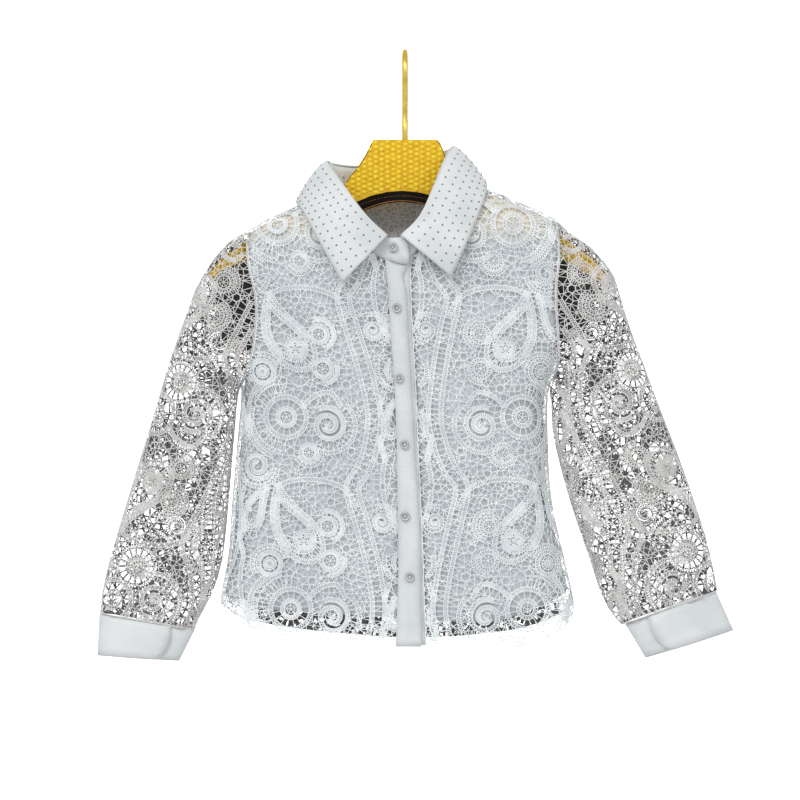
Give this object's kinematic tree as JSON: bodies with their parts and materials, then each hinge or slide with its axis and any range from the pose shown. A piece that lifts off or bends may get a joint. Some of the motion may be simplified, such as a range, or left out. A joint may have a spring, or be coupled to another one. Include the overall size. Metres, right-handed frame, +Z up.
{
  "type": "lace shirt on a hanger",
  "caption": "Child's long-sleeved floral lace shirt with satin collar, button strip and cuffs, lined in the body, hung on a woven-covered hanger with a metal hook.",
  "frame": {"origin": "inside top of the hanger's hook, where it sits on a rail", "axes": "+X to the wearer's left, +Y from the front to the back, +Z up"},
  "size_m": [0.6361, 0.1006, 0.6112],
  "materials": {
    "lace": "soft matt corded lace",
    "lining": "plain matt lining",
    "satin": "soft sheen satin",
    "button": "polished, grey-white",
    "woven_yellow": "woven cord cover",
    "black": "smooth matt black",
    "gold": "polished yellow metal"
  },
  "bodies": {
    "root": {"back": "lace", "front_left": "lace", "front_right": "lace", "sleeve_left_back": "lace", "sleeve_left_front": "lace", "sleeve_right_back": "lace", "sleeve_right_front": "lace", "lining_back": "lining", "lining_front_left": "lining", "lining_front_right": "lining", "collar_leaf": "satin", "collar_stand": "satin", "cuff_left": "satin", "cuff_right": "satin", "placket_top": "satin", "placket_under": "satin", "button_1": "button", "button_2": "button", "button_3": "button", "button_4": "button", "button_5": "button", "button_6": "button", "hanger_board": "woven_yellow", "hanger_core": "black", "hook": "gold"}
  },
  "joints": []
}
